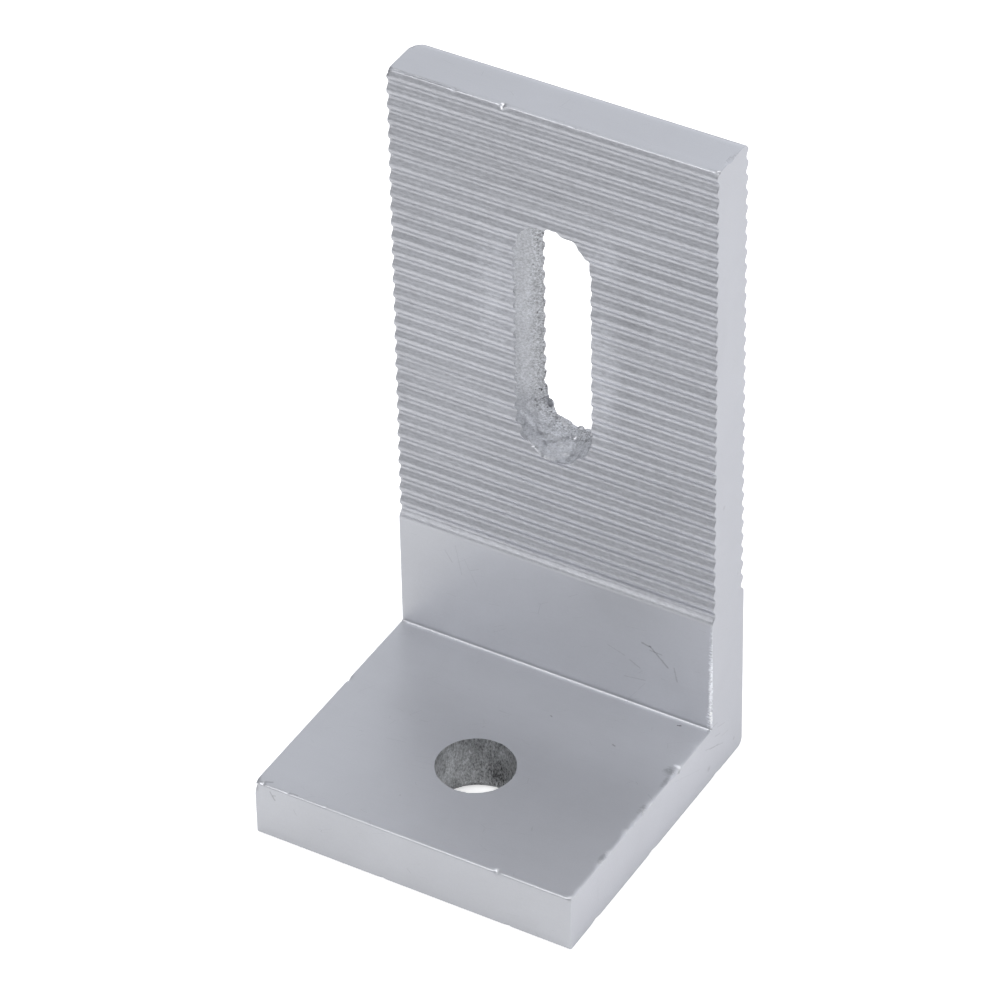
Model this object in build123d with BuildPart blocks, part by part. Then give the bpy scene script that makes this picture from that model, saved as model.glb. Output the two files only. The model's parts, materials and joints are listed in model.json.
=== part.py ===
"""Solar L foot bracket: one length sawn from an extruded aluminium angle.

The base leg lies on the roof and takes one bolt. The upright is serrated on
both faces, so that the rail clamp's toothed washer locks at any height, and a
drilled and routed slot lets the clamp bolt slide.

Millimetres. The origin is the centre of the bolt hole on the underside.
+X runs along the extrusion, -Y is the way the base leg points, +Z is up.
"""
import os
from math import cos, floor, radians, sin, tan

from build123d import *

os.makedirs("parts", exist_ok=True)

# Extruded section
width = 41.5                    # length of the sawn piece, along X
height = 86.0                   # underside to the top of the upright
base_depth = 40.8               # back of the upright to the tip of the base leg
base_thickness = 7.6
upright_thickness = 7.6
tip_top_radius = 0.5            # upper long edge of the base leg's tip
tip_bottom_radius = 0.5         # lower long edge of the base leg's tip
heel_radius = 1.0               # outer corner under the upright
inner_corner_radius = 0.25      # root of the L
top_front_radius = 0.25
top_back_radius = 1.5

# Serrations on the front and the back of the upright
plain_band_top = 23.4           # height where the smooth band ends
serration_pitch = 2.0
serration_depth = 0.5           # crest to root
crest_setback = 0.15            # how far the crests lie below the smooth band
flank_angle = 45.0              # slope of a flank from the upright's face

# Bolt hole in the base leg
hole_diameter = 9.4
hole_to_back = 26.1             # hole's axis to the back of the upright

# Slot in the upright
slot_width = 9.8
slot_length = 33.2              # end to end
slot_to_top = 13.8              # slot's upper end to the top of the upright


def serration_radius():
    """Radius of crests and roots that gives the stated pitch and depth."""
    angle = radians(flank_angle)
    rise = serration_pitch / 2 * sin(angle) - serration_depth * cos(angle)
    return rise / (2 * (1 - cos(angle)))


def serration_points(face, inward):
    """Zigzag whose rounded corners make one face's crests and roots.

    face is the Y of the smooth band, and inward is +1 or -1, the way into
    the metal. The points run up from the smooth band to past the top.
    """
    radius = serration_radius()
    half_pitch = serration_pitch / 2
    sharp_to_round = radius * (1 / cos(radians(flank_angle)) - 1)
    root = crest_setback + serration_depth + sharp_to_round
    crest = crest_setback - sharp_to_round
    first_root_height = plain_band_top + root / tan(radians(flank_angle))
    grooves = floor((height - plain_band_top) / serration_pitch) + 1
    points = [(face, plain_band_top)]
    for number in range(grooves):
        root_height = first_root_height + number * serration_pitch
        points.append((face + inward * root, root_height))
        points.append((face + inward * crest, root_height + half_pitch))
    return points


base_tip = hole_to_back - base_depth
back_face = hole_to_back
front_face = back_face - upright_thickness
slot_centre_height = height - slot_to_top - slot_length / 2
clear = 3.0                     # how far cutting shapes reach past the metal

# Corners of the L and the radius of each, from the heel towards the tip
section_corners = [
    ((back_face, 0), heel_radius),
    ((base_tip, 0), tip_bottom_radius),
    ((base_tip, base_thickness), tip_top_radius),
    ((front_face, base_thickness), inner_corner_radius),
    ((front_face, height), top_front_radius),
    ((back_face, height), top_back_radius),
]

with BuildPart() as l_foot_bracket:
    # The L section, with the serrations of both faces cut into it
    with BuildSketch(Plane.YZ) as section:
        with BuildLine() as outline:
            FilletPolyline(
                *[corner for corner, radius in section_corners],
                radius=[radius for corner, radius in section_corners],
                close=True,
            )
        make_face()
        for face, inward in ((front_face, 1), (back_face, -1)):
            outside = face - inward * clear
            zigzag = serration_points(face, inward)
            end_height = zigzag[-1][1]
            with BuildLine() as serrations:
                teeth = FilletPolyline(
                    (face, plain_band_top - clear),
                    *zigzag,
                    radius=serration_radius(),
                )
                Polyline(
                    teeth @ 1,
                    (outside, end_height),
                    (outside, plain_band_top - clear),
                    teeth @ 0,
                )
            make_face(mode=Mode.SUBTRACT)
    extrude(amount=width / 2, both=True)

    # Bolt hole, square through the base leg
    with Locations((0, 0, base_thickness)):
        Hole(hole_diameter / 2, depth=base_thickness)

    # Clamp slot, square through the upright
    slot_plane = Plane(origin=(0, back_face + clear, slot_centre_height),
                       x_dir=(0, 0, 1), z_dir=(0, -1, 0))
    with BuildSketch(slot_plane) as slot:
        SlotOverall(slot_length, slot_width)
    extrude(amount=upright_thickness + 2 * clear, mode=Mode.SUBTRACT)

l_foot_bracket.part.label = "l_foot_bracket"
export_step(l_foot_bracket.part, "parts/l_foot_bracket.step")
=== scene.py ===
import json
import math

import bmesh
import bpy
from mathutils import Matrix, Vector, noise
from mathutils.geometry import delaunay_2d_cdt


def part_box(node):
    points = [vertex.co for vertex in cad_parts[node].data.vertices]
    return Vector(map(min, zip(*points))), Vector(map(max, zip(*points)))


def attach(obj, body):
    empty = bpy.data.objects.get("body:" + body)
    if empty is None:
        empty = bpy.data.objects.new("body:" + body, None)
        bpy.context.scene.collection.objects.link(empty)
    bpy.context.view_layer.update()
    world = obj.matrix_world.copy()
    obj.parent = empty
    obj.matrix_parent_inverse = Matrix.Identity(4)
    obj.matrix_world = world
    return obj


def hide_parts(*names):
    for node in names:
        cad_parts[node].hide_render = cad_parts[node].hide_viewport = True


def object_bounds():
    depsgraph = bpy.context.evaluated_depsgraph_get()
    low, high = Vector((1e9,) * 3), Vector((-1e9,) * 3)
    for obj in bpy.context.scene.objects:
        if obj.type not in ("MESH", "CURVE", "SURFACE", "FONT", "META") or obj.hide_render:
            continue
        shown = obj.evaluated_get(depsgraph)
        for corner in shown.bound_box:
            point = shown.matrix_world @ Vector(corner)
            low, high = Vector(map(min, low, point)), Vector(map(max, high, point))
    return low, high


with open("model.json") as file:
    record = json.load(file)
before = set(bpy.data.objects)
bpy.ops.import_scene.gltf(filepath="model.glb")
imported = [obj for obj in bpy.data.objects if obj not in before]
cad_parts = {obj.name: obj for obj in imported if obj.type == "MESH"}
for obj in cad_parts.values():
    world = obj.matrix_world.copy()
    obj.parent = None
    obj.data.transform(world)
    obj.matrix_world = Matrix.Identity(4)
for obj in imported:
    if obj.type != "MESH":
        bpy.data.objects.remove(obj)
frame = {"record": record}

# The bracket is one length of extruded aluminium angle. Its visible mesh is
# built here at the sizes of the frame, with worn edges, torn slot and hole
# walls and rubbed serrations. Lengths are in millimetres until a mesh is made.

MM = 0.001
cad_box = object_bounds()
MIDDLE = sum(cad_box, Vector()) / 2
mounts = {mount["name"]: mount for mount in frame["record"]["mounts"]}
low, high = (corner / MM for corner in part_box("l_foot_bracket"))

# Section of the extrusion
HALF_WIDTH = (high.x - low.x) / 2
HEIGHT = high.z
TIP = low.y
BACK = high.y
BASE_THICKNESS = mounts["base_bolt_hole"]["dims"]["length_mm"]
UPRIGHT_THICKNESS = 7.6
FRONT = BACK - UPRIGHT_THICKNESS
TIP_RADIUS = 0.22
HEEL_RADIUS = 1.0
INNER_RADIUS = 0.2
TOP_FRONT_RADIUS = 0.13
TOP_BACK_RADIUS = 1.5

# Serrations
PLAIN_BAND_TOP = 23.4
PITCH = 2.0
DEPTH = 0.5
SETBACK = 0.15
FLANK = math.radians(45)

# Openings
HOLE_RADIUS = mounts["base_bolt_hole"]["dims"]["r_mm"]
HOLE_FLARE = 0.6
HOLE_FLARE_TOP = 0.9
SLOT_RADIUS = 4.9
SLOT_CENTRE = mounts["rail_bolt_slot"]["pos_m"][2] / MM
SLOT_LENGTH = 33.2
SLOT_STRAIGHT = SLOT_LENGTH / 2 - SLOT_RADIUS     # half the length of its straight sides
CUTTER_CLEARANCE = 0.8

# Mesh density
STEP_X = 0.58
TOOTH_STEPS = 8
FLAT_STEP = 1.1
SEEN_STEP = 0.45
END_STEP = 0.8
RING_GAP = 0.07
CUT_GRID = {"slot": (330, 44), "hole": (150, 34)}     # points around, steps through

# Centre of the saw blade that cut the ends, far outside the section
SAW_Y = -160.0
SAW_Z = -60.0


def unit(value):
    """The value, held between zero and one."""
    return max(0.0, min(1.0, value))


# ---------------------------------------------------------------- section

def wave_radius():
    """Radius of crests and roots, tangent to the straight flanks."""
    rise = PITCH / 2 * math.sin(FLANK) - DEPTH * math.cos(FLANK)
    return rise / (2 * (1 - math.cos(FLANK)))


def arc_depth(radius, offset):
    """How far an arc of this radius falls away at an offset from its top."""
    return radius - math.sqrt(max(radius * radius - offset * offset, 0.0))


WAVE_RADIUS = wave_radius()
ROUNDING = WAVE_RADIUS * (1 / math.cos(FLANK) - 1)
ROOT_POINT = SETBACK + DEPTH + ROUNDING
FIRST_ROOT = PLAIN_BAND_TOP + ROOT_POINT / math.tan(FLANK)
SHOULDER = PLAIN_BAND_TOP - WAVE_RADIUS * math.tan(FLANK / 2)


def serration_depth(z):
    """Depth of a serrated face below its smooth band, at a height."""
    reach = WAVE_RADIUS * math.sin(FLANK)
    if z <= SHOULDER:
        return 0.0
    if z < SHOULDER + reach:
        return arc_depth(WAVE_RADIUS, z - SHOULDER)
    if z < FIRST_ROOT - reach:
        return (z - PLAIN_BAND_TOP) * math.tan(FLANK)
    phase = (z - FIRST_ROOT) % PITCH
    from_root = min(phase, PITCH - phase)
    from_crest = PITCH / 2 - from_root
    if from_root < reach:
        return SETBACK + DEPTH - arc_depth(WAVE_RADIUS, from_root)
    if from_crest < reach:
        return SETBACK + arc_depth(WAVE_RADIUS, from_crest)
    return ROOT_POINT - from_root * math.tan(FLANK)


def back_depth(z):
    """Serration depth, or the rounded top edge where that lies deeper."""
    over = z - (HEIGHT - TOP_BACK_RADIUS)
    rounded = arc_depth(TOP_BACK_RADIUS, over) if over > 0 else 0.0
    return max(serration_depth(z), rounded)


def straight(start, end, step):
    """Points from start up to, but not including, end."""
    (y0, z0), (y1, z1) = start, end
    count = max(1, round(math.hypot(y1 - y0, z1 - z0) / step))
    return [(y0 + (y1 - y0) * i / count, z0 + (z1 - z0) * i / count) for i in range(count)]


def corner(centre, radius, first, last, steps):
    """Points of a rounded corner, without its last one. Angles in degrees."""
    points = []
    for i in range(steps):
        angle = math.radians(first + (last - first) * i / steps)
        points.append((centre[0] + radius * math.cos(angle), centre[1] + radius * math.sin(angle)))
    return points


def serrated_heights():
    """Heights of the mesh rows of a serrated face, from the band to the top."""
    step = PITCH / TOOTH_STEPS
    heights = [SHOULDER + step * i for i in range(4)]
    row = FIRST_ROOT - 2 * step
    while row < HEIGHT - 0.9 * step:
        if row > heights[-1] + 0.4 * step:
            heights.append(row)
        row += step
    return heights


def section_outline():
    """The L section as a closed list of (y, z), counter-clockwise from +X.

    It runs from the heel along the back face, over the top, down the front,
    along the base leg and back under it.
    """
    heights = serrated_heights()
    top_rows = [HEIGHT - TOP_BACK_RADIUS * (1 - math.sin(math.radians(a))) for a in (52, 66, 78)]
    points = corner((BACK - HEEL_RADIUS, HEEL_RADIUS), HEEL_RADIUS, -90, 0, 5)
    points += straight((BACK, HEEL_RADIUS), (BACK, heights[0]), FLAT_STEP)
    back_rows = [z for z in heights if z < top_rows[0] - 0.1] + top_rows
    points += [(BACK - back_depth(z), z) for z in back_rows]
    edge_z = HEIGHT - TOP_FRONT_RADIUS
    edge_y = FRONT + serration_depth(edge_z) + TOP_FRONT_RADIUS
    points += straight((BACK - TOP_BACK_RADIUS, HEIGHT), (edge_y + 0.6, HEIGHT), 0.7)
    points += straight((edge_y + 0.6, HEIGHT), (edge_y, HEIGHT), 0.1)
    points += corner((edge_y, edge_z), TOP_FRONT_RADIUS, 90, 180, 4)
    points += [(FRONT + serration_depth(z), z) for z in heights[::-1] if z < edge_z + 0.02]
    foot = BASE_THICKNESS + INNER_RADIUS
    points += straight((FRONT, heights[0]), (FRONT, foot), SEEN_STEP)[1:]
    points += corner((FRONT - INNER_RADIUS, foot), INNER_RADIUS, 0, -90, 4)
    upper = BASE_THICKNESS - TIP_RADIUS
    base_end = (TIP + TIP_RADIUS, BASE_THICKNESS)
    points += straight((FRONT - INNER_RADIUS, BASE_THICKNESS), base_end, SEEN_STEP)
    points += corner((TIP + TIP_RADIUS, upper), TIP_RADIUS, 90, 180, 5)
    points += straight((TIP, upper), (TIP, TIP_RADIUS), 0.5)
    points += corner((TIP + TIP_RADIUS, TIP_RADIUS), TIP_RADIUS, 180, 270, 5)
    points += straight((TIP + TIP_RADIUS, 0), (BACK - HEEL_RADIUS, 0), FLAT_STEP)
    return points


def inward_normals(points):
    """Unit vectors into the metal, one for each point of the section."""
    normals = []
    for i in range(len(points)):
        before = points[i - 1]
        after = points[(i + 1) % len(points)]
        dy, dz = after[0] - before[0], after[1] - before[1]
        size = math.hypot(dy, dz) or 1.0
        normals.append((-dz / size, dy / size))
    return normals


# ---------------------------------------------------------------- wear

# Knocks on the long edges: centre (x, y, z), radius and depth
KNOCKS = [
    ((-6.1, FRONT + 0.6, HEIGHT), 0.42, 0.30),
    ((-12.4, FRONT + 0.6, HEIGHT), 0.35, 0.08),
    ((2.9, FRONT + 0.6, HEIGHT), 0.35, 0.06),
    ((11.2, TIP, BASE_THICKNESS), 0.48, 0.26),
    ((-19.7, TIP + 0.15, BASE_THICKNESS), 0.30, 0.14),
    ((-18.9, TIP, BASE_THICKNESS - 1.1), 0.28, 0.10),
    ((-16.4, TIP + 0.2, BASE_THICKNESS), 0.22, 0.06),
    ((-11.3, TIP, BASE_THICKNESS), 0.25, 0.07),
    ((-4.0, TIP, 0.1), 0.4, 0.10),
    ((12.6, TIP, 0.1), 0.35, 0.12),
]

# The saw's burr fades out up the inner edge of the right end
BURR_TOP = 19.0
BURR_FADE = 3.0

# A line scored along the top face: how far behind the front, its depth and width
GROOVE_BEHIND = 0.86
GROOVE_DEPTH = 0.055
GROOVE_WIDTH = 0.11

# Knocks on the edges of the sawn ends: side, (y, z), radius and depth
END_KNOCKS = [
    (1, (10.6, BASE_THICKNESS), 0.50, 0.34),
    (1, (9.6, BASE_THICKNESS), 0.45, 0.26),
    (1, (3.6, BASE_THICKNESS), 0.35, 0.26),
    (1, (2.2, BASE_THICKNESS), 0.60, 0.30),
    (1, (-1.9, BASE_THICKNESS), 0.50, 0.22),
    (1, (-6.1, BASE_THICKNESS), 0.45, 0.26),
    (1, (-7.9, BASE_THICKNESS), 0.40, 0.18),
    (1, (14.6, BASE_THICKNESS), 0.35, 0.15),
    (-1, (TIP, BASE_THICKNESS), 0.90, 0.30),
    (1, (TIP, 0.9), 0.40, 0.22),
    (1, (TIP, BASE_THICKNESS), 0.45, 0.20),
    (1, (-8.9, 0.0), 0.5, 0.18),
    (1, (4.2, 0.0), 0.5, 0.16),
    (1, (19.4, 0.0), 0.5, 0.16),
    (1, (FRONT + 0.6, HEIGHT), 0.45, 0.24),
    (1, (FRONT + 3.4, HEIGHT), 0.40, 0.22),
    (1, (FRONT + 4.1, HEIGHT), 0.30, 0.16),
    (-1, (TIP, 6.9), 0.7, 0.28),
    (-1, (BACK - 0.6, HEIGHT - 0.4), 1.3, 0.75),
    (-1, (FRONT + 0.4, HEIGHT - 0.2), 0.8, 0.35),
    (-1, (6.2, BASE_THICKNESS), 0.5, 0.2),
]


def bump(distance, radius):
    """Smooth fall-off, from one at the centre to nothing past the radius."""
    share = distance / radius
    return math.exp(-share * share * 2.2)


def rub(x, z):
    """How much the serrations beside the slot were rubbed by the clamp."""
    right = bump(math.hypot((x - 9.5) / 1.1, (z - SLOT_CENTRE - 5) / 2.2), 7)
    left = bump(math.hypot((x + 12.5) / 1.3, (z - SLOT_CENTRE - 8) / 1.8), 7)
    patches = noise.noise(Vector((x * 0.22, z * 0.3, 4.7)))
    return max(right, left) * 0.6 + max(0.0, patches) * 0.8


def worn_depth(x, y, z):
    """How far the surface lies below the section, in the middle of its length."""
    depth = 0.0
    if z > FIRST_ROOT - 0.1 and (y < FRONT + 0.8 or y > BACK - 0.8):
        tooth = math.floor((z - FIRST_ROOT) / PITCH)
        below = y - FRONT if y < BACK - 2 else BACK - y
        crest = max(0.0, 1 - (below - SETBACK) / 0.22)
        along = noise.noise(Vector((x * 0.35, tooth * 3.1, y)))
        fine = noise.noise(Vector((x * 1.7, tooth * 7.7, y)))
        depth += crest * (0.03 + 0.025 * along + 0.03 * max(0.0, fine))
        depth += crest * 0.05 * rub(x, z)
    if z > HEIGHT - 0.01 and y < FRONT + 1.4:
        depth += edge_groove(x, y)
    for place, radius, sunk in KNOCKS:
        if abs(x - place[0]) < 2 * radius:
            away = math.dist((x, y, z), place)
            depth += sunk * bump(away, radius)
    return max(depth, 0.0)


def edge_groove(x, y):
    """A shallow scored line just behind the front edge of the top face."""
    place = FRONT + GROOVE_BEHIND + 0.03 * noise.noise(Vector((x * 0.5, 0.3, 0.7)))
    strength = 0.55 + 0.45 * noise.noise(Vector((x * 0.8, 5.1, 0.2)))
    strength += 0.9 * unit((-11.5 - x) / 4)
    return GROOVE_DEPTH * max(0.0, strength) * bump(abs(y - place), GROOVE_WIDTH)


def burr(side, y, z):
    """Torn metal left by the saw along parts of the right end's edges."""
    if side < 0:
        return 0.0
    fine = max(0.0, noise.noise(Vector((y * 2.7, z * 2.7, 3.3))))
    coarse = max(0.0, noise.noise(Vector((y * 0.9, z * 0.9, 8.3))) + 0.25)
    inner_edge = abs(y - FRONT) < 0.3 and BASE_THICKNESS < z < BURR_TOP
    base_edge = abs(z - BASE_THICKNESS) < 0.3 and y < FRONT - 2.0
    if inner_edge:
        return (0.10 + 0.35 * fine) * min(1.0, (BURR_TOP - z) / BURR_FADE)
    if base_edge:
        return 0.03 + 0.45 * fine * coarse
    return 0.0


def end_inset(side, y, z):
    """How far a sawn end's edge is broken away, with burrs and nicks."""
    rough = noise.noise(Vector((side * 5.0, y * 1.1, z * 1.1)))
    fine = noise.noise(Vector((side * 9.0, y * 3.9, z * 3.9)))
    inset = 0.05 + 0.025 * rough + 0.03 * max(0.0, fine) + burr(side, y, z)
    for which, place, radius, sunk in END_KNOCKS:
        if which == side:
            inset += sunk * bump(math.dist((y, z), place), radius)
    return max(inset, 0.015)


def stations():
    """Places along X of the mesh's rings, closer at the ends and at knocks."""
    edge = [0.0, 0.09, 0.24, 0.5, 0.85]
    places = [-HALF_WIDTH + e for e in edge] + [HALF_WIDTH - e for e in edge]
    span = 2 * HALF_WIDTH - 2 * edge[-1]
    count = round(span / STEP_X)
    places += [-HALF_WIDTH + edge[-1] + span * i / count for i in range(1, count)]
    for place, radius, _ in KNOCKS:
        places += [place[0] + offset * radius for offset in (-0.8, -0.4, 0.0, 0.4, 0.8)]
    places.sort()
    kept = [places[0]]
    for place in places[1:]:
        if place - kept[-1] > RING_GAP:
            kept.append(place)
    kept[-1] = HALF_WIDTH
    return kept


def join_rows(mesh, rows):
    """Faces between each ring of vertices and the next."""
    size = len(rows[0])
    for here, there in zip(rows, rows[1:]):
        for i in range(size):
            j = (i + 1) % size
            mesh.faces.new((here[i], here[j], there[j], there[i]))


def make_extrusion():
    """Sweeps the section along X as one closed mesh, worn at its edges."""
    outline = section_outline()
    inward = inward_normals(outline)
    rings = stations()
    mesh = bmesh.new()
    rows = []
    for x in rings:
        row = []
        side = 1 if x > 0 else -1
        from_end = HALF_WIDTH - abs(x)
        for (y, z), (ny, nz) in zip(outline, inward):
            depth = worn_depth(x, y, z)
            inset = end_inset(side, y, z)
            edge = max(0.0, 1 - from_end / (inset * 1.3 + 0.02))
            depth += inset * edge
            # a deep nick also reaches further along the piece
            depth += 0.55 * max(0.0, inset - 0.1) * bump(from_end, 0.4)
            row.append(mesh.verts.new(Vector((x, y + ny * depth, z + nz * depth)) * MM))
        rows.append(row)
    join_rows(mesh, rows)
    add_sawn_end(mesh, rows[0])
    add_sawn_end(mesh, rows[-1])
    bmesh.ops.recalc_face_normals(mesh, faces=mesh.faces)
    return finish_mesh(mesh, "extrusion")


def sawn_relief(x, y, z):
    """Depth of the saw's shallow ridges below the flat end."""
    sweep = math.hypot(y - SAW_Y, z - SAW_Z)
    ridges = 0.5 + 0.5 * math.sin(sweep * 2.6 + 1.5 * noise.noise(Vector((x, y * 0.2, z * 0.2))))
    return 0.006 * ridges + 0.02 * max(0.0, noise.noise(Vector((x, y * 0.5, z * 0.5))))


def add_sawn_end(mesh, ring):
    """Closes the mesh with a finely divided end that follows the ring."""
    x = ring[0].co.x / MM
    edge = [Vector((vert.co.y, vert.co.z)) / MM for vert in ring]
    count = len(edge)
    inner = []
    for row in range(int(HEIGHT / END_STEP)):
        z = END_STEP * (row + 0.75)
        y = TIP + END_STEP * (0.7 + 0.5 * (row % 2))
        while y < BACK - 0.7:
            inside = z < BASE_THICKNESS - 0.6 or y > FRONT + 1.2
            if inside and z < HEIGHT - 0.8:
                inner.append(Vector((y, z)))
            y += END_STEP
    loop = [(i, (i + 1) % count) for i in range(count)]
    flat, _, faces, sources, _, _ = delaunay_2d_cdt(edge + inner, loop, [], 1, 1e-7)
    verts = []
    for place, source in zip(flat, sources):
        if source and source[0] < count:
            verts.append(ring[source[0]])
            continue
        deeper = math.copysign(sawn_relief(x, place.x, place.y), x)
        verts.append(mesh.verts.new(Vector((x - deeper, place.x, place.y)) * MM))
    for face in faces:
        mesh.faces.new([verts[i] for i in face])


def finish_mesh(mesh, name):
    """Puts a finished mesh into the scene as an object."""
    data = bpy.data.meshes.new(name)
    mesh.to_mesh(data)
    mesh.free()
    piece = bpy.data.objects.new(name, data)
    bpy.context.scene.collection.objects.link(piece)
    return piece


# ---------------------------------------------------------------- cutters

def stadium(share):
    """A point of the slot's outline and its outward normal, as (x, z)."""
    straight_run = 2 * SLOT_STRAIGHT
    half_turn = math.pi * SLOT_RADIUS
    total = 2 * (straight_run + half_turn)
    run = share * total
    if run < straight_run:
        return (SLOT_RADIUS, -SLOT_STRAIGHT + run), (1.0, 0.0)
    run -= straight_run
    if run < half_turn:
        angle = run / SLOT_RADIUS
        way = (math.cos(angle), math.sin(angle))
        return (SLOT_RADIUS * way[0], SLOT_STRAIGHT + SLOT_RADIUS * way[1]), way
    run -= half_turn
    if run < straight_run:
        return (-SLOT_RADIUS, SLOT_STRAIGHT - run), (-1.0, 0.0)
    run -= straight_run
    angle = math.pi + run / SLOT_RADIUS
    way = (math.cos(angle), math.sin(angle))
    return (SLOT_RADIUS * way[0], -SLOT_STRAIGHT + SLOT_RADIUS * way[1]), way


def chips(at, size):
    """Flat facets with steps between them, like torn metal, from -1 to 1."""
    scaled = at / size
    _, cells = noise.voronoi(scaled)
    cell = cells[0]
    lean = noise.cell_vector(cell * 7.3 + Vector((0.5, 0.5, 0.5)))
    lean = (lean - Vector((0.5, 0.5, 0.5))) * 2
    return lean.dot(scaled - cell) + lean.x * 0.5


def slot_roughness(x, y, z):
    """How far the torn slot wall stands off its outline, outwards."""
    at = Vector((x, y, z))
    depth = unit((y - FRONT) / UPRIGHT_THICKNESS)
    fine = noise.noise(Vector((x * 2.0 + y, y * 2.2, z * 4.4 + y * 1.6))) * 0.04
    middle = noise.noise(at * 0.7 + Vector((3.0, 1.0, 7.0))) * 0.05
    pits = max(0.0, noise.noise(at * 2.6 + Vector((9.0, 2.0, 5.0))) - 0.25) * 0.5
    pits *= max(0.0, depth - 0.35) * 1.5
    ragged = 0.10 * depth ** 4 * noise.noise(Vector((x * 0.8, 1.0, z * 1.9)))
    bottom = unit((SLOT_CENTRE - SLOT_STRAIGHT + 0.6 - z) / 2.2)
    torn = bottom * (0.34 * chips(at, 2.1) + 0.12 * chips(at, 0.9) - 0.10)
    torn *= 0.35 + 0.65 * min(1.0, 3.0 * depth)
    top = unit((z - SLOT_CENTRE - SLOT_STRAIGHT + 1.0) / 2.0)
    chip = top * (0.06 + 0.14 * depth) * chips(at, 1.9)
    lip = 0.14 * unit((FRONT + 0.4 - y) / 0.4)
    # metal torn along the slot's top hangs into it, most in the middle
    crown = unit((z - SLOT_CENTRE - SLOT_STRAIGHT) / 2.6)
    middle_on = unit((x + 3.0) / 1.4)
    right_off = unit((x - 1.4) / 2.4)
    hang = crown * (0.32 + 0.66 * middle_on - 0.38 * right_off)
    hang *= 1.0 + 0.45 * noise.noise(Vector((x * 0.9, y * 0.45, z * 0.9)))
    hang += 0.16 * crown * noise.noise(Vector((x * 1.5, y * 0.6, z * 1.5 + 4.0)))
    return fine + middle + pits + ragged + torn + chip + lip - hang


def make_slot_cutter():
    """The slot's form with its torn wall, longer than the upright is thick."""
    around, through = CUT_GRID["slot"]
    depth = UPRIGHT_THICKNESS + 2 * CUTTER_CLEARANCE
    mesh = bmesh.new()
    rows = []
    for j in range(through + 1):
        y = FRONT - CUTTER_CLEARANCE + depth * j / through
        row = []
        for i in range(around):
            (x, z), (nx, nz) = stadium(i / around)
            off = slot_roughness(x, y, z + SLOT_CENTRE)
            at = Vector((x + nx * off, y, z + nz * off + SLOT_CENTRE))
            row.append(mesh.verts.new(at * MM))
        rows.append(row)
    return close_cutter(mesh, rows, "slot_cutter")


def hole_roughness(angle, z):
    """How far the bolt hole's wall stands off its radius, outwards."""
    at = Vector((math.cos(angle), math.sin(angle), 0.0)) * HOLE_RADIUS + Vector((0.0, 0.0, z))
    off = 0.04 * noise.noise(at * 2.4) + 0.05 * noise.noise(at * 0.9 + Vector((4.0, 4.0, 4.0)))
    off += 0.4 * max(0.0, noise.noise(at * 1.6 + Vector((7.0, 1.0, 3.0))) - 0.3)
    off += 0.02 * math.sin(z * 11.0 + angle)
    off *= 0.35 + 0.65 * unit((BASE_THICKNESS - z) / 1.2)
    off += 0.05 * unit((z - BASE_THICKNESS + 0.25) / 0.25)
    return off + HOLE_FLARE * unit((HOLE_FLARE_TOP - z) / HOLE_FLARE_TOP)


def make_hole_cutter():
    """The bolt hole's form with its dragged wall, longer than the base is thick."""
    around, through = CUT_GRID["hole"]
    depth = BASE_THICKNESS + 2 * CUTTER_CLEARANCE
    mesh = bmesh.new()
    rows = []
    for j in range(through + 1):
        z = -CUTTER_CLEARANCE + depth * j / through
        row = []
        for i in range(around):
            angle = 2 * math.pi * i / around
            way = Vector((math.cos(angle), math.sin(angle), 0.0))
            radius = HOLE_RADIUS + hole_roughness(angle, z)
            row.append(mesh.verts.new((way * radius + Vector((0.0, 0.0, z))) * MM))
        rows.append(row)
    return close_cutter(mesh, rows, "hole_cutter")


def close_cutter(mesh, rows, name):
    """Joins a cutter's rings and caps both of its ends."""
    join_rows(mesh, rows)
    caps = [mesh.faces.new(rows[0][::-1]), mesh.faces.new(rows[-1])]
    bmesh.ops.triangulate(mesh, faces=caps)
    bmesh.ops.recalc_face_normals(mesh, faces=mesh.faces)
    return finish_mesh(mesh, name)


def cut(piece, cutter):
    """Takes the cutter's volume out of the piece and removes the cutter."""
    modifier = piece.modifiers.new("cut", "BOOLEAN")
    modifier.operation = "DIFFERENCE"
    modifier.solver = "EXACT"
    modifier.object = cutter
    depsgraph = bpy.context.evaluated_depsgraph_get()
    result = bpy.data.meshes.new_from_object(piece.evaluated_get(depsgraph))
    piece.modifiers.clear()
    piece.data = result
    bpy.data.objects.remove(cutter)


# ---------------------------------------------------------------- nodes

def link_all(tree, pairs):
    """Links each (output, input) pair."""
    for source, target in pairs:
        tree.links.new(source, target)


def add(tree, kind, **values):
    """A new node, with properties and input values set by name."""
    node = tree.nodes.new(kind)
    for key, value in values.items():
        if key.startswith("in_"):
            name = key[3:].replace("_", " ")
            node.inputs[name].default_value = value
        else:
            setattr(node, key, value)
    return node


def maths(tree, operation, first, second=None, clamp=False):
    """The result of a sum on one or two values, each a number or an output."""
    node = tree.nodes.new("ShaderNodeMath")
    node.operation = operation
    node.use_clamp = clamp
    for socket, value in zip(node.inputs, (first, second)):
        if value is None:
            continue
        if isinstance(value, (int, float)):
            socket.default_value = value
        else:
            tree.links.new(value, socket)
    return node.outputs[0]


def vector_maths(tree, operation, first, second, output="Vector"):
    """The result of a sum on two vector outputs."""
    node = add(tree, "ShaderNodeVectorMath", operation=operation)
    link_all(tree, [(first, node.inputs[0]), (second, node.inputs[1])])
    return node.outputs[output]


def dot(tree, first, second):
    """The dot product of two vector outputs."""
    return vector_maths(tree, "DOT_PRODUCT", first, second, "Value")


def blend(tree, start, parts):
    """A start value plus shares of node outputs, each (output, share)."""
    total = start
    for output, share in parts:
        total = maths(tree, "ADD", total, maths(tree, "MULTIPLY", output, share))
    return total


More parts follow.
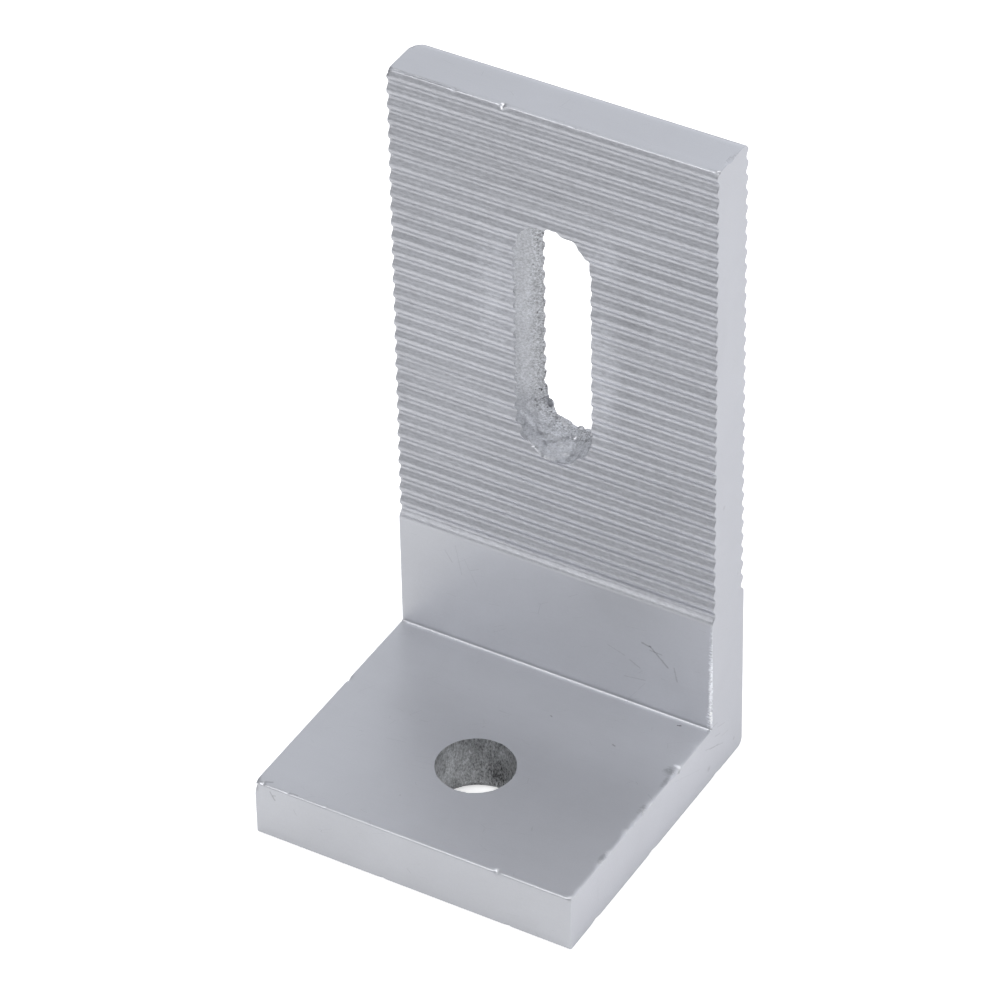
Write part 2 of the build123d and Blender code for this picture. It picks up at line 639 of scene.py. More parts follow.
def ramp(tree, value, start, end):
    """Rises smoothly from zero to one as a value goes from start to end."""
    node = add(tree, "ShaderNodeMapRange", interpolation_type="SMOOTHSTEP",
               in_From_Min=start, in_From_Max=end)
    tree.links.new(value, node.inputs["Value"])
    return node.outputs[0]


def new_group(name, inputs, outputs):
    """An empty shader group with float or vector sockets."""
    tree = bpy.data.node_groups.new(name, "ShaderNodeTree")
    kinds = {"value": "NodeSocketFloat", "vector": "NodeSocketVector"}
    for label, kind, default in inputs:
        socket = tree.interface.new_socket(label, in_out="INPUT", socket_type=kinds[kind])
        if default is not None:
            socket.default_value = default
    for label, kind in outputs:
        tree.interface.new_socket(label, in_out="OUTPUT", socket_type=kinds[kind])
    return tree, tree.nodes.new("NodeGroupInput"), tree.nodes.new("NodeGroupOutput")


def use_group(tree, group, place, **values):
    """A node that runs a group at a place, with input values set by name."""
    node = tree.nodes.new("ShaderNodeGroup")
    node.node_tree = group
    tree.links.new(place, node.inputs["Place"])
    for key, value in values.items():
        node.inputs[key.replace("_", " ")].default_value = value
    return node


def stretched(tree, place, stretch):
    """Coordinates in millimetres, squeezed along each axis."""
    node = add(tree, "ShaderNodeVectorMath", operation="MULTIPLY")
    node.inputs[1].default_value = stretch
    tree.links.new(place, node.inputs[0])
    return node.outputs[0]


def make_drawn_lines():
    """Fine die lines left along the length by the extrusion die."""
    tree, given, result = new_group(
        "drawn_lines",
        [("Place", "vector", None), ("Fineness", "value", 3.0), ("Amount", "value", 1.0)],
        [("Lines", "value")],
    )
    place = stretched(tree, given.outputs["Place"], (0.035, 1.0, 1.0))
    fine = add(tree, "ShaderNodeTexNoise", in_Detail=6.0, in_Roughness=0.62)
    coarse = add(tree, "ShaderNodeTexNoise", in_Detail=2.0)
    wide = maths(tree, "MULTIPLY", given.outputs["Fineness"], 0.21)
    link_all(tree, [
        (place, fine.inputs["Vector"]),
        (place, coarse.inputs["Vector"]),
        (given.outputs["Fineness"], fine.inputs["Scale"]),
        (wide, coarse.inputs["Scale"]),
    ])
    mixed = blend(tree, 0.0, [(fine.outputs[0], 0.65), (coarse.outputs[0], 0.35)])
    centred = maths(tree, "SUBTRACT", mixed, 0.5)
    tree.links.new(maths(tree, "MULTIPLY", centred, given.outputs["Amount"]), result.inputs["Lines"])
    return tree


def make_mottle():
    """Soft cloudy patches where the bare metal was handled and rubbed."""
    tree, given, result = new_group(
        "mottle",
        [("Place", "vector", None), ("Scale", "value", 0.2),
         ("Low", "value", 0.45), ("High", "value", 0.7)],
        [("Patches", "value"), ("Grain", "value")],
    )
    cloud = add(tree, "ShaderNodeTexNoise", in_Detail=5.0, in_Roughness=0.6, in_Distortion=0.4)
    grain = add(tree, "ShaderNodeTexNoise", in_Scale=5.0, in_Detail=3.0, in_Roughness=0.7)
    span = add(tree, "ShaderNodeMapRange")
    link_all(tree, [
        (given.outputs["Place"], cloud.inputs["Vector"]),
        (given.outputs["Place"], grain.inputs["Vector"]),
        (given.outputs["Scale"], cloud.inputs["Scale"]),
        (cloud.outputs[0], span.inputs["Value"]),
        (given.outputs["Low"], span.inputs["From Min"]),
        (given.outputs["High"], span.inputs["From Max"]),
        (span.outputs[0], result.inputs["Patches"]),
        (maths(tree, "SUBTRACT", grain.outputs[0], 0.5), result.inputs["Grain"]),
    ])
    return tree


def make_scratches():
    """Sparse thin scratches, each a short stretch of a noisy line."""
    tree, given, result = new_group(
        "scratches",
        [("Place", "vector", None), ("Turn", "value", 0.4),
         ("Spread", "value", 0.5), ("Width", "value", 0.02)],
        [("Marks", "value")],
    )
    turned = add(tree, "ShaderNodeVectorRotate", rotation_type="EULER_XYZ")
    angles = add(tree, "ShaderNodeCombineXYZ")
    tree.links.new(given.outputs["Turn"], angles.inputs["X"])
    tree.links.new(given.outputs["Turn"], angles.inputs["Y"])
    tree.links.new(angles.outputs[0], turned.inputs["Rotation"])
    tree.links.new(given.outputs["Place"], turned.inputs["Vector"])
    place = stretched(tree, turned.outputs[0], (0.12, 1.0, 1.0))
    cells = add(tree, "ShaderNodeTexVoronoi", feature="DISTANCE_TO_EDGE")
    tree.links.new(place, cells.inputs["Vector"])
    tree.links.new(given.outputs["Spread"], cells.inputs["Scale"])
    thin = maths(tree, "LESS_THAN", cells.outputs["Distance"], given.outputs["Width"])
    where = add(tree, "ShaderNodeTexNoise", in_Scale=0.33, in_Detail=2.0)
    tree.links.new(given.outputs["Place"], where.inputs["Vector"])
    some = maths(tree, "GREATER_THAN", where.outputs[0], 0.6)
    tree.links.new(maths(tree, "MULTIPLY", thin, some), result.inputs["Marks"])
    return tree


def make_specks():
    """Small dark pits and specks scattered over the metal."""
    tree, given, result = new_group(
        "specks",
        [("Place", "vector", None), ("Spread", "value", 0.3), ("Size", "value", 0.1)],
        [("Specks", "value")],
    )
    cells = add(tree, "ShaderNodeTexVoronoi", feature="F1")
    pick = add(tree, "ShaderNodeTexWhiteNoise", noise_dimensions="3D")
    tree.links.new(given.outputs["Place"], cells.inputs["Vector"])
    tree.links.new(given.outputs["Spread"], cells.inputs["Scale"])
    tree.links.new(cells.outputs["Position"], pick.inputs["Vector"])
    share = maths(tree, "POWER", pick.outputs["Value"], 3.0)
    size = maths(tree, "MULTIPLY", given.outputs["Size"], share)
    away = maths(tree, "DIVIDE", cells.outputs["Distance"], size)
    soft = maths(tree, "SUBTRACT", 1.0, away, clamp=True)
    tree.links.new(soft, result.inputs["Specks"])
    return tree


def make_mark():
    """One scratch: a thin line of metal between two places, broken by grain."""
    tree, given, result = new_group(
        "mark",
        [("Place", "vector", None), ("From", "vector", None),
         ("To", "vector", None), ("Width", "value", 0.1)],
        [("Mark", "value")],
    )
    along = vector_maths(tree, "SUBTRACT", given.outputs["To"], given.outputs["From"])
    reach = vector_maths(tree, "SUBTRACT", given.outputs["Place"], given.outputs["From"])
    share = maths(tree, "DIVIDE", dot(tree, reach, along), dot(tree, along, along), clamp=True)
    nearest = add(tree, "ShaderNodeVectorMath", operation="SCALE")
    link_all(tree, [(along, nearest.inputs[0]), (share, nearest.inputs["Scale"])])
    away = vector_maths(tree, "SUBTRACT", reach, nearest.outputs[0])
    distance = maths(tree, "SQRT", dot(tree, away, away))
    grain = add(tree, "ShaderNodeTexNoise", in_Scale=2.6, in_Detail=3.0, in_Roughness=0.7)
    tree.links.new(given.outputs["Place"], grain.inputs["Vector"])
    uneven = maths(tree, "SUBTRACT", grain.outputs[0], 0.5)
    wobble = maths(tree, "MULTIPLY", uneven, given.outputs["Width"])
    wide = maths(tree, "ADD", maths(tree, "MULTIPLY", wobble, 3.0), given.outputs["Width"])
    widths_away = maths(tree, "DIVIDE", distance, maths(tree, "MAXIMUM", wide, 0.001))
    inside = maths(tree, "SUBTRACT", 1.0, widths_away, clamp=True)
    tree.links.new(inside, result.inputs["Mark"])
    return tree


def make_patch():
    """A soft, broken patch around a place, for rubbed or soiled metal."""
    tree, given, result = new_group(
        "patch",
        [("Place", "vector", None), ("Centre", "vector", None), ("Reach", "vector", None),
         ("Break", "value", 0.5), ("Fineness", "value", 1.1)],
        [("Patch", "value")],
    )
    away = vector_maths(tree, "SUBTRACT", given.outputs["Place"], given.outputs["Centre"])
    scaled = vector_maths(tree, "DIVIDE", away, given.outputs["Reach"])
    fall = maths(tree, "SUBTRACT", 1.0, dot(tree, scaled, scaled), clamp=True)
    streaks = add(tree, "ShaderNodeTexNoise", in_Detail=4.0, in_Roughness=0.65)
    tree.links.new(given.outputs["Fineness"], streaks.inputs["Scale"])
    tree.links.new(stretched(tree, given.outputs["Place"], (0.4, 1.0, 1.0)), streaks.inputs["Vector"])
    uneven = maths(tree, "SUBTRACT", streaks.outputs[0], 0.5)
    broken = maths(tree, "MULTIPLY", uneven, given.outputs["Break"])
    total = maths(tree, "ADD", fall, maths(tree, "MULTIPLY", broken, 4.0))
    tree.links.new(maths(tree, "MULTIPLY", total, fall, clamp=True), result.inputs["Patch"])
    return tree


DRAWN_LINES = make_drawn_lines()
MOTTLE = make_mottle()
SCRATCHES = make_scratches()
SPECKS = make_specks()
MARK = make_mark()
PATCH = make_patch()


def new_metal(name, colour, roughness):
    """A bare aluminium material, and the coordinates in millimetres."""
    material = bpy.data.materials.new(name)
    material.use_nodes = True
    tree = material.node_tree
    shader = tree.nodes["Principled BSDF"]
    shader.inputs["Metallic"].default_value = 1.0
    shader.inputs["Roughness"].default_value = roughness
    shader.inputs["Base Color"].default_value = (*colour, 1.0)
    source = tree.nodes.new("ShaderNodeTexCoord")
    place = stretched(tree, source.outputs["Object"], (1 / MM, 1 / MM, 1 / MM))
    return material, tree, shader, place


def drive(tree, shader, colour, tone, roughness, change, height, strength, relief_depth):
    """Feeds tone, change of roughness and height (in millimetres) into the shader."""
    base = add(tree, "ShaderNodeMix", data_type="RGBA", blend_type="MULTIPLY")
    base.inputs[0].default_value = 1.0
    base.inputs[6].default_value = (*colour, 1.0)
    grey = add(tree, "ShaderNodeCombineColor")
    for channel in grey.inputs:
        tree.links.new(tone, channel)
    tree.links.new(grey.outputs[0], base.inputs[7])
    tree.links.new(base.outputs[2], shader.inputs["Base Color"])
    total = maths(tree, "ADD", change, roughness, clamp=True)
    tree.links.new(total, shader.inputs["Roughness"])
    relief = add(tree, "ShaderNodeBump")
    relief.inputs["Strength"].default_value = strength
    relief.inputs["Distance"].default_value = relief_depth * MM
    tree.links.new(height, relief.inputs["Height"])
    tree.links.new(relief.outputs[0], shader.inputs["Normal"])


def add_marks(tree, place, marks):
    """The sum of single scratches, each (from, to, width, strength)."""
    parts = []
    for start, end, width, strength in marks:
        group = use_group(tree, MARK, place, From=start, To=end, Width=width)
        parts.append((group.outputs[0], strength))
    return blend(tree, 0.0, parts)


# Scratches and dark specks on the smooth band and the base leg
SMOOTH_MARKS = [
    ((11.6, FRONT, 17.1), (12.7, FRONT, 16.9), 0.18, 0.37),
    ((12.6, FRONT, 17.0), (15.0, FRONT, 14.7), 0.16, 0.34),
    ((12.6, FRONT, 16.4), (14.2, FRONT, 16.3), 0.14, 0.24),
    ((15.8, FRONT, 15.0), (16.2, FRONT, 13.1), 0.14, 0.24),
    ((7.1, FRONT, 15.0), (9.3, FRONT, 14.3), 0.12, 0.14),
    ((10.0, FRONT, 13.9), (11.3, FRONT, 13.2), 0.14, 0.20),
    ((9.3, FRONT, 11.2), (12.0, FRONT, 11.6), 0.11, 0.17),
    ((-13.2, FRONT, 21.8), (-12.4, FRONT, 17.7), 0.08, 0.10),
    ((-12.0, FRONT, 20.2), (-10.4, FRONT, 16.8), 0.07, 0.09),
    ((16.9, 17.4, BASE_THICKNESS), (17.2, 17.5, BASE_THICKNESS), 0.16, 0.75),
    ((3.2, 11.8, BASE_THICKNESS), (3.4, 11.7, BASE_THICKNESS), 0.16, 0.42),
    ((12.0, 10.8, BASE_THICKNESS), (12.3, 10.7, BASE_THICKNESS), 0.14, 0.42),
    ((-18.7, TIP, 6.9), (-18.1, TIP, 5.9), 0.14, 0.32),
    ((-18.3, TIP, 6.5), (-18.0, TIP, 6.6), 0.12, 0.22),
    ((-20.2, TIP + 0.35, BASE_THICKNESS), (-18.9, TIP + 0.9, BASE_THICKNESS), 0.16, 0.34),
    ((-16.2, TIP + 0.3, BASE_THICKNESS), (-15.2, TIP + 0.35, BASE_THICKNESS), 0.12, 0.26),
]

# Scratches on the right end, near the outer corner
END_MARKS = [
    ((HALF_WIDTH, *start), (HALF_WIDTH, *end), width, strength)
    for start, end, width, strength in (
        ((17.1, 5.6), (21.3, 3.6), 0.10, 0.16),
        ((18.1, 5.0), (20.3, 4.2), 0.12, 0.14),
        ((18.8, 7.9), (19.9, 7.7), 0.12, 0.12),
        ((20.0, 7.0), (21.7, 6.4), 0.10, 0.12),
        ((21.0, 4.9), (22.6, 4.6), 0.10, 0.10),
        ((19.4, 6.0), (20.6, 5.6), 0.12, 0.12),
        ((9.8, 6.4), (15.8, 3.7), 0.07, 0.07),
    )
]


def add_patches(tree, place, patches, fineness):
    """The sum of soft patches, each (centre, reach, break, strength)."""
    parts = []
    for centre, reach, broken, strength in patches:
        group = use_group(tree, PATCH, place, Centre=centre, Reach=reach, Break=broken,
                          Fineness=fineness)
        parts.append((group.outputs[0], strength))
    return blend(tree, 0.0, parts)


# Painted highlights on the burred right-hand edges and painted shade in the nicks there, and along
# the top face's front edge a painted highlight with a painted dark line of shade behind it
EDGE_PAINTED_LIGHT_AND_SHADE = [
    # painted highlights where the burrs along the right end's edges catch the light
    ((HALF_WIDTH - 0.1, FRONT, 15.5), (0.45, 1.0, 8.5), 2.2, 0.50),
    ((HALF_WIDTH - 0.2, FRONT, 9.3), (0.65, 1.0, 2.0), 2.2, 0.50),
    ((HALF_WIDTH - 0.45, 11.1, BASE_THICKNESS), (0.7, 0.28, 1.0), 0.4, 0.5),
    # painted shade in the nicks along the right end's base edge
    ((HALF_WIDTH - 0.85, 9.9, BASE_THICKNESS), (0.9, 1.1, 1.0), 1.0, -0.34),
    ((HALF_WIDTH - 0.35, 8.0, BASE_THICKNESS), (0.5, 1.6, 1.0), 1.0, -0.22),
    ((HALF_WIDTH - 0.35, 2.6, BASE_THICKNESS), (0.6, 1.3, 1.0), 1.0, -0.30),
    ((HALF_WIDTH - 0.35, -6.8, BASE_THICKNESS), (0.5, 1.5, 1.0), 1.0, -0.26),
    # a painted dark line of shade behind the top front edge, then a painted highlight on the edge
    ((-15.5, FRONT + 0.62, HEIGHT), (7.0, 0.30, 1.0), 1.2, -0.42),
    ((-13.0, FRONT + 0.22, HEIGHT - 0.1), (9.0, 0.20, 0.5), 0.6, 0.30),
]


def make_drawn_metal():
    """The faces that left the extrusion die smooth."""
    colour, roughness = (0.616, 0.625, 0.655), 0.4
    material, tree, shader, place = new_metal("drawn_aluminium", colour, roughness)
    lines = use_group(tree, DRAWN_LINES, place, Fineness=2.6, Amount=1.0).outputs[0]
    cloud = use_group(tree, MOTTLE, place, Scale=0.06, Low=0.4, High=0.66)
    hairlines = use_group(tree, SCRATCHES, place, Turn=0.5, Spread=0.35, Width=0.004).outputs[0]
    specks = use_group(tree, SPECKS, place, Spread=0.22, Size=0.12).outputs[0]
    marks = add_marks(tree, place, SMOOTH_MARKS)
    tone = blend(tree, 1.0, [
        (lines, 0.07),
        (cloud.outputs["Grain"], 0.08),
        # painted highlights and painted shade at the edges
        (add_patches(tree, place, EDGE_PAINTED_LIGHT_AND_SHADE, 4.5), 1.0),
        (cloud.outputs["Patches"], -0.03),
        (hairlines, -0.10),
        (specks, -0.3),
        (marks, -1.0),
    ])
    change = blend(tree, 0.0, [(lines, 0.10), (cloud.outputs["Patches"], 0.04)])
    height = blend(tree, lines, [(specks, -1.5), (marks, -3.0)])
    drive(tree, shader, colour, tone, roughness, change, height, strength=0.2, relief_depth=0.02)
    return material


# Bright rubs and dark smudges left on the flanks by the rail clamp
CLAMP_RUBS = [
    ((x, FRONT + 0.3, z), (across, 9.0, up), broken, strength)
    for x, z, across, up, broken, strength in (
        (5.8, 52.5, 3.6, 13.5, 1.3, 0.33),
        (6.6, 69.5, 3.4, 4.0, 1.0, 0.26),
        (-7.4, 60.5, 4.0, 13.0, 1.6, 0.30),
        (-14.5, 47.0, 10.0, 26.0, 0.2, 0.12),
        (-6.8, 44.5, 3.2, 1.6, 0.4, 0.22),
        (10.3, 62.5, 3.2, 7.5, 0.9, -0.15),
        (9.5, 50.0, 3.0, 5.0, 0.9, -0.11),
        (-9.3, 59.5, 2.6, 1.1, 0.8, -0.15),
        (-7.7, 70.5, 3.0, 1.3, 0.8, -0.14),
    )
]


def make_serrated_metal():
    """The serrated faces: die lines on every flank and a painted highlight on the first flank."""
    colour, roughness = (0.575, 0.582, 0.612), 0.38
    material, tree, shader, place = new_metal("serrated_aluminium", colour, roughness)
    lines = use_group(tree, DRAWN_LINES, place, Fineness=4.0, Amount=1.0).outputs[0]
    die = use_group(tree, DRAWN_LINES, place, Fineness=0.55, Amount=1.0).outputs[0]
    drawn = stretched(tree, place, (0.3, 1.0, 1.2))
    cloud = use_group(tree, MOTTLE, drawn, Scale=0.13, Low=0.46, High=0.66)
    grain = cloud.outputs["Grain"]
    split = add(tree, "ShaderNodeSeparateXYZ")
    tree.links.new(place, split.inputs[0])
    # the first flank, below the first root, is painted lighter: a painted highlight where it faces
    # the light
    first_flank_painted_highlight = ramp(tree, split.outputs["Z"], FIRST_ROOT + 0.05, FIRST_ROOT - 0.35)
    source = add(tree, "ShaderNodeTexCoord")
    facing = add(tree, "ShaderNodeSeparateXYZ")
    tree.links.new(source.outputs["Normal"], facing.inputs[0])
    # painted light and shade by facing: the clamp's rubs and smudges are painted four times as strong
    # on flanks that face up as on flanks that face down
    facing_painted_light = blend(tree, 0.25, [(ramp(tree, facing.outputs["Z"], 0.2, 0.6), 0.75)])
    rubs_and_facing_light = maths(tree, "MULTIPLY", add_patches(tree, place, CLAMP_RUBS, 3.0), facing_painted_light)
    tone = blend(tree, 1.0, [
        (lines, 0.34),
        (cloud.outputs["Patches"], -0.05),
        (grain, 0.75),
        (die, 0.35),
        (first_flank_painted_highlight, 0.12),
        # clamp rubs, painted stronger on up-facing flanks as painted light
        (rubs_and_facing_light, 1.0),
    ])
    change = blend(tree, 0.0, [(lines, 0.16), (cloud.outputs["Patches"], 0.06)])
    height = blend(tree, 0.0, [(lines, 0.6), (grain, 0.5)])
    drive(tree, shader, colour, tone, roughness, change, height, strength=0.35, relief_depth=0.03)
    return material


def make_sawn_metal():
    """The sawn ends, with faint arcs of the blade."""
    colour, roughness = (0.655, 0.662, 0.70), 0.46
    material, tree, shader, place = new_metal("sawn_aluminium", colour, roughness)
    rings = add(tree, "ShaderNodeTexWave", wave_type="RINGS", rings_direction="X",
                in_Scale=0.9, in_Distortion=2.5, in_Detail=3.0)
    shifted = add(tree, "ShaderNodeVectorMath", operation="ADD")
    shifted.inputs[1].default_value = (0.0, -SAW_Y, -SAW_Z)
    tree.links.new(place, shifted.inputs[0])
    tree.links.new(shifted.outputs[0], rings.inputs["Vector"])
    cloud = use_group(tree, MOTTLE, place, Scale=0.1, Low=0.4, High=0.7)
    hairlines = use_group(tree, SCRATCHES, place, Turn=1.1, Spread=0.4, Width=0.004).outputs[0]
    specks = use_group(tree, SPECKS, place, Spread=0.3, Size=0.16).outputs[0]
    marks = add_marks(tree, place, END_MARKS)
    arcs = maths(tree, "SUBTRACT", rings.outputs["Fac"], 0.5)
    tone = blend(tree, 1.0, [
        (arcs, 0.014),
        (cloud.outputs["Grain"], 0.06),
        (cloud.outputs["Patches"], -0.03),
        (hairlines, -0.05),
        (specks, -0.22),
        (marks, -1.0),
    ])
    change = maths(tree, "MULTIPLY", arcs, 0.05)
    height = blend(tree, 0.0, [(arcs, 0.5), (specks, -1.0), (marks, -3.0)])
    drive(tree, shader, colour, tone, roughness, change, height, strength=0.3, relief_depth=0.02)
    return material


def make_torn_metal():
    """The slot's wall: sheared smooth near the front, torn and pitted behind."""
    colour, roughness = (0.65, 0.66, 0.69), 0.5
    material, tree, shader, place = new_metal("torn_aluminium", colour, roughness)
    leaning = add(tree, "ShaderNodeVectorRotate", rotation_type="X_AXIS")
    leaning.inputs["Angle"].default_value = math.radians(35)
    tree.links.new(place, leaning.inputs["Vector"])
    stroked = stretched(tree, leaning.outputs[0], (1.0, 0.35, 1.3))
    pitted = stretched(tree, leaning.outputs[0], (1.0, 0.6, 1.2))
    strokes = use_group(tree, MOTTLE, stroked, Scale=0.9, Low=0.4, High=0.62)
    cloud = use_group(tree, MOTTLE, place, Scale=0.4, Low=0.42, High=0.64)
    specks = use_group(tree, SPECKS, pitted, Spread=1.9, Size=0.5).outputs[0]
    grain = strokes.outputs["Grain"]
    split = add(tree, "ShaderNodeSeparateXYZ")
    tree.links.new(place, split.inputs[0])
    deep = ramp(tree, split.outputs["Y"], FRONT + 2.5, BACK - 0.5)
    pits = maths(tree, "MULTIPLY", specks, blend(tree, 0.12, [(deep, 0.75)]))
    tone = blend(tree, 1.0, [
        (grain, 1.3),
        (maths(tree, "MULTIPLY", grain, deep), 1.5),
        (strokes.outputs["Patches"], -0.08),
        (cloud.outputs["Patches"], -0.08),
        (deep, -0.17),
        (pits, -1.0),
    ])
    change = maths(tree, "MULTIPLY", grain, 0.3)
    height = blend(tree, 0.0, [(grain, 1.5), (pits, -3.0)])
    drive(tree, shader, colour, tone, roughness, change, height, strength=0.6, relief_depth=0.1)
    return material


# Painted light high up on the bolt hole's wall and on its left side, and painted shade lower down in
# the hole
HOLE_PAINTED_LIGHT_AND_SHADE = [
    ((-4.4, 1.2, 5.4), (4.2, 4.2, 4.5), 0.8, 0.42),
    ((1.6, 4.4, 6.4), (2.2, 2.2, 1.6), 0.8, 0.16),
    ((0.6, 4.7, 2.4), (2.6, 2.6, 3.4), 0.3, -0.34),
    ((3.2, 3.4, 3.0), (1.8, 1.8, 3.0), 0.6, -0.14),
]


def make_drilled_metal():
    """The bolt hole's wall: dull, with lighter flecks dragged by the drill, and painted light and
    shade.
    """
    colour, roughness = (0.55, 0.56, 0.575), 0.55
    material, tree, shader, place = new_metal("drilled_aluminium", colour, roughness)
    dragged = stretched(tree, place, (1.0, 1.0, 0.5))
    flecks = use_group(tree, MOTTLE, dragged, Scale=1.1, Low=0.5, High=0.66)
    cloud = use_group(tree, MOTTLE, place, Scale=0.3, Low=0.4, High=0.62)
    specks = use_group(tree, SPECKS, place, Spread=1.4, Size=0.4).outputs[0]
    grain = flecks.outputs["Grain"]
    tone = blend(tree, 0.9, [
        (grain, 2.4),
        (flecks.outputs["Patches"], 0.16),
        # painted light near the top of the hole's wall, painted shade lower down
        (add_patches(tree, place, HOLE_PAINTED_LIGHT_AND_SHADE, 0.9), 1.0),
        (cloud.outputs["Patches"], -0.25),
        (specks, -0.3),
    ])
    change = maths(tree, "MULTIPLY", grain, 0.3)
    height = blend(tree, 0.0, [(grain, 1.5), (specks, -1.0)])
    drive(tree, shader, colour, tone, roughness, change, height, strength=0.6, relief_depth=0.1)
    return material


# Places of the five finishes in the bracket's list of materials
DRAWN, SERRATED, SAWN, TORN, DRILLED = range(5)
SHARP_ANGLE = math.radians(48)


def in_opening(x, y, z):
    """True within or just past the outline of the slot or the hole."""
    past = 0.75
    if FRONT < y < BACK and z > BASE_THICKNESS:
        beyond = max(0.0, abs(z - SLOT_CENTRE) - SLOT_STRAIGHT)
        return math.hypot(x, beyond) < SLOT_RADIUS + past
    return 0 < z < BASE_THICKNESS and math.hypot(x, y) < HOLE_RADIUS + past


def finish_of(centre, normal):
    """The finish of a face, from where it is and the way it faces."""
    x, y, z = centre / MM
    if abs(x) > HALF_WIDTH - 0.03 and abs(normal.x) > 0.8:
        return SAWN
    if in_opening(x, y, z):
        if z > BASE_THICKNESS:
            if abs(normal.y) < 0.5 and (abs(normal.x) > 0.25 or min(y - FRONT, BACK - y) > 0.75):
                return TORN
        elif abs(normal.z) < 0.8:
            return DRILLED
    if z > PLAIN_BAND_TOP - 0.1 and z < HEIGHT - 0.02:
        return SERRATED
    return DRAWN


def make_bracket():
    """The whole part: swept, cut, finished and handed to the frame."""
    bracket = make_extrusion()
    cut(bracket, make_slot_cutter())
    cut(bracket, make_hole_cutter())
    data = bracket.data
    data.materials.clear()
    metals = (make_drawn_metal, make_serrated_metal, make_sawn_metal, make_torn_metal,
              make_drilled_metal)
    for make in metals:
        data.materials.append(make())
    for polygon in data.polygons:
        polygon.material_index = finish_of(polygon.center, polygon.normal)
    data.polygons.foreach_set("use_smooth", [True] * len(data.polygons))
    data.set_sharp_from_angle(angle=SHARP_ANGLE)
    bracket.name = "l_foot_bracket_metal"
    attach(bracket, "root")
    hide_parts("l_foot_bracket")
    return bracket


# ---------------------------------------------------------------- studio

FLOOR_SIZE = 6.0
FLOOR_GAP = 0.00002
FLOOR_GLOW = 0.45       # seen by the camera only
FLOOR_LIGHT = 0.15      # also falls on the bracket
ROOM_BACK = 1.23
ROOM_FRONT = 0.5
ROOM_COLOUR = (0.96, 0.98, 1.03)

# Softboxes: name, azimuth and elevation in degrees, size and power
LAMP_DISTANCE = 0.7
SOFTBOXES = [
    ("left_softbox", -60, 35, 0.5, 0.62),
    ("right_softbox", 100, 35, 0.5, 1.22),
    ("top_softbox", 0, 88, 0.5, 1.55),
    ("front_softbox", -27, 60, 0.3, 1.0),
]

# Camera: angles in degrees, lengths in metres, the lens in millimetres
CAMERA_AZIMUTH = 30.63
CAMERA_ELEVATION = 38.51
CAMERA_ROLL = -1.11
CAMERA_DISTANCE = 0.665
CAMERA_RIGHT = 0.00048
CAMERA_UP = -0.00033
CAMERA_LENS = 214.3


def make_floor():
    """A plain white floor, so bright that the bracket's shadow clips to white."""
    bpy.ops.mesh.primitive_plane_add(size=FLOOR_SIZE, location=(0, 0, low.z * MM - FLOOR_GAP))
    floor = bpy.context.object
    floor.name = "floor"
    material = bpy.data.materials.new("white_floor")
    material.use_nodes = True
    tree = material.node_tree
    tree.nodes.clear()
    matt = add(tree, "ShaderNodeBsdfDiffuse")
    matt.inputs["Color"].default_value = (0.9, 0.9, 0.9, 1)
    glow = add(tree, "ShaderNodeEmission")
    both = add(tree, "ShaderNodeAddShader")
    path = add(tree, "ShaderNodeLightPath")
    seen = maths(tree, "MULTIPLY", path.outputs["Is Camera Ray"], FLOOR_GLOW)
    seen = maths(tree, "ADD", seen, FLOOR_LIGHT)
    end = add(tree, "ShaderNodeOutputMaterial")
    link_all(tree, [
        (seen, glow.inputs["Strength"]),
        (matt.outputs[0], both.inputs[0]),
        (glow.outputs[0], both.inputs[1]),
        (both.outputs[0], end.inputs["Surface"]),
    ])
    floor.data.materials.append(material)


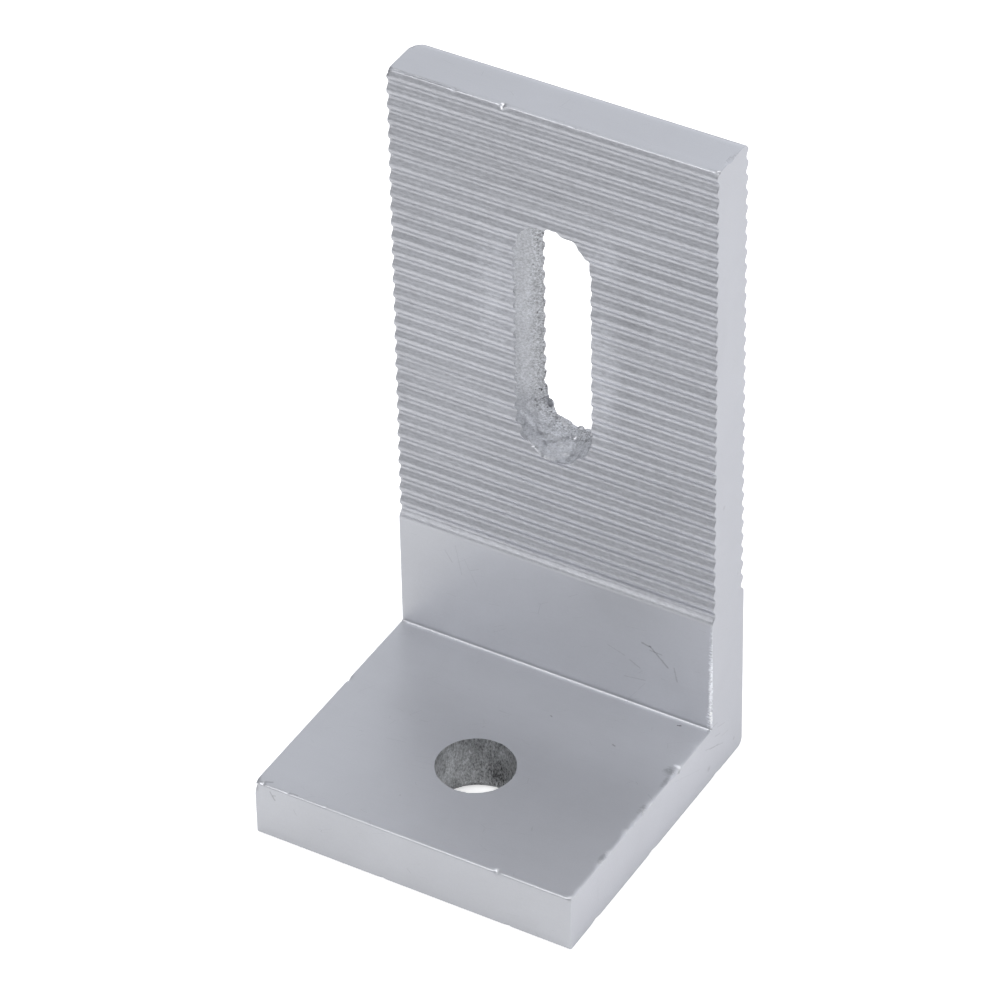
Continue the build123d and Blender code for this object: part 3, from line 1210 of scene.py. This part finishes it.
def make_world():
    """White to the camera only, and a soft graded room to all else."""
    world = bpy.data.worlds.new("studio")
    bpy.context.scene.world = world
    world.use_nodes = True
    tree = world.node_tree
    tree.nodes.clear()
    source = add(tree, "ShaderNodeTexCoord")
    split = add(tree, "ShaderNodeSeparateXYZ")
    tree.links.new(source.outputs["Generated"], split.inputs[0])
    forward = maths(tree, "MULTIPLY", split.outputs["Y"], -1.0)
    back = maths(tree, "MULTIPLY", maths(tree, "MAXIMUM", split.outputs["Y"], 0.0), ROOM_BACK)
    front = maths(tree, "MULTIPLY", maths(tree, "MAXIMUM", forward, 0.0), ROOM_FRONT)
    level = maths(tree, "ADD", back, front)
    room = add(tree, "ShaderNodeBackground")
    room.inputs["Color"].default_value = (*ROOM_COLOUR, 1)
    tree.links.new(level, room.inputs["Strength"])
    white = add(tree, "ShaderNodeBackground")
    white.inputs["Color"].default_value = (1, 1, 1, 1)
    path = add(tree, "ShaderNodeLightPath")
    choose = add(tree, "ShaderNodeMixShader")
    end = add(tree, "ShaderNodeOutputWorld")
    link_all(tree, [
        (path.outputs["Is Camera Ray"], choose.inputs[0]),
        (room.outputs[0], choose.inputs[1]),
        (white.outputs[0], choose.inputs[2]),
        (choose.outputs[0], end.inputs["Surface"]),
    ])


def direction(azimuth, elevation):
    """A unit vector out from the bracket, by angles in degrees from its front."""
    a, e = math.radians(azimuth), math.radians(elevation)
    return Vector((math.sin(a) * math.cos(e), -math.cos(a) * math.cos(e), math.sin(e)))


def add_softbox(name, azimuth, elevation, size, power):
    """A square lamp that faces the middle of the bracket."""
    way = direction(azimuth, elevation)
    data = bpy.data.lights.new(name, "AREA")
    data.shape = "SQUARE"
    data.size = size
    data.energy = power
    lamp = bpy.data.objects.new(name, data)
    bpy.context.scene.collection.objects.link(lamp)
    lamp.location = MIDDLE + way * LAMP_DISTANCE
    lamp.rotation_mode = "QUATERNION"
    lamp.rotation_quaternion = way.to_track_quat("Z", "Y")


def make_camera():
    """The camera of the main view."""
    back = direction(CAMERA_AZIMUTH, CAMERA_ELEVATION)
    azimuth, roll = math.radians(CAMERA_AZIMUTH), math.radians(CAMERA_ROLL)
    level = Vector((math.cos(azimuth), math.sin(azimuth), 0.0))
    over = back.cross(level)
    right = math.cos(roll) * level + math.sin(roll) * over
    up = back.cross(right)
    data = bpy.data.cameras.new("camera")
    data.sensor_width = 36.0
    data.lens = CAMERA_LENS
    data.clip_start = 0.05
    data.clip_end = 20.0
    camera = bpy.data.objects.new("camera", data)
    bpy.context.scene.collection.objects.link(camera)
    camera.location = MIDDLE + back * CAMERA_DISTANCE + right * CAMERA_RIGHT + up * CAMERA_UP
    camera.rotation_mode = "QUATERNION"
    camera.rotation_quaternion = Matrix((right, up, back)).transposed().to_quaternion()
    bpy.context.scene.camera = camera


make_camera()
make_bracket()
make_floor()
make_world()
for lamp in SOFTBOXES:
    add_softbox(*lamp)

bpy.context.scene.view_settings.view_transform = "Standard"
